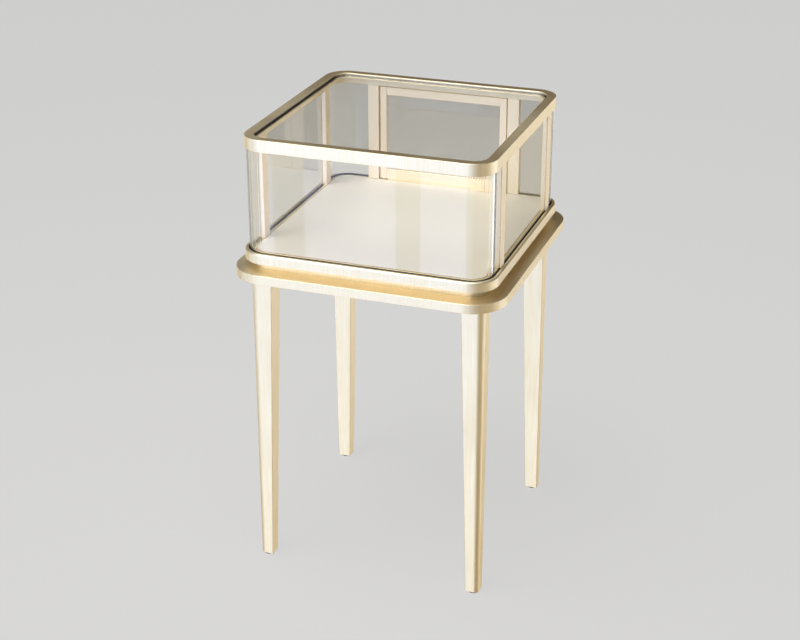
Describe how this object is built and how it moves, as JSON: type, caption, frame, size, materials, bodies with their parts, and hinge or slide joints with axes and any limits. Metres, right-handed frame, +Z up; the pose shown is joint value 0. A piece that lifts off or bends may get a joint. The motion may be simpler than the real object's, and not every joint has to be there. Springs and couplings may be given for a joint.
{
  "type": "jewelry display cabinet",
  "caption": "Square glass display case with bent corners, a recessed glass top and a hinged rear door, on a rounded plinth with tapered legs, in brushed champagne-gold metal.",
  "frame": {"origin": "on the floor under the middle of the plinth", "axes": "+Z up, front towards -Y, the rear door towards +Y, +X to the right seen from the front"},
  "size_m": [0.6, 0.6, 1],
  "materials": {
    "gold": "brushed champagne gold",
    "board": "raw fibreboard",
    "deck": "cream laminate",
    "glass": "clear, polished edges",
    "rubber": "black, matte",
    "glide": "black, moulded",
    "steel": "zinc plated",
    "bush": "turned",
    "lock": "plated"
  },
  "bodies": {
    "cabinet": {"base_board": "board", "base_panel": "gold", "base_ring": "gold", "bush_bottom": "bush", "bush_top": "bush", "corner_glass_left": "glass", "corner_glass_right": "glass", "deck_board": "board", "deck_pad": "deck", "deck_trim": "gold", "door_sill": "gold", "foot_glide_front_left": "glide", "foot_glide_front_right": "glide", "foot_glide_rear_left": "glide", "foot_glide_rear_right": "glide", "front_glass": "glass", "glass_gasket": "rubber", "jamb_left": "gold", "jamb_right": "gold", "leg_bolts": "steel", "leg_front_left": "gold", "leg_front_right": "gold", "leg_rear_left": "gold", "leg_rear_right": "gold", "neck_band": "gold", "neck_board": "board", "plinth_board": "board", "plinth_cover": "gold", "plinth_panel": "gold", "post_front_left": "gold", "post_front_right": "gold", "post_rear_left": "gold", "post_rear_right": "gold", "side_glass_left": "glass", "side_glass_right": "glass", "stack_screws": "steel", "top_glass": "glass", "top_ring": "gold", "top_seal": "rubber"},
    "door": {"door_stile_hinge": "gold", "door_stile_lock": "gold", "door_rail_top": "gold", "door_rail_bottom": "gold", "door_glass": "glass", "door_pins": "steel", "lock_barrel": "lock", "lock_nut": "lock"},
    "lock": {"lock_plug": "lock", "lock_cam": "lock", "cam_screw": "steel"}
  },
  "joints": [
    {"name": "door_hinge", "type": "hinge", "parent": "cabinet", "child": "door", "pos_m": [-0.144, 0.2655, 0.8615], "axis": [0, 0, 1], "range_deg": [0, 105]},
    {"name": "lock_turn", "type": "hinge", "parent": "door", "child": "lock", "pos_m": [0.144, 0.262, 0.762], "axis": [0, 1, 0], "range_deg": [0, 90]}
  ]
}
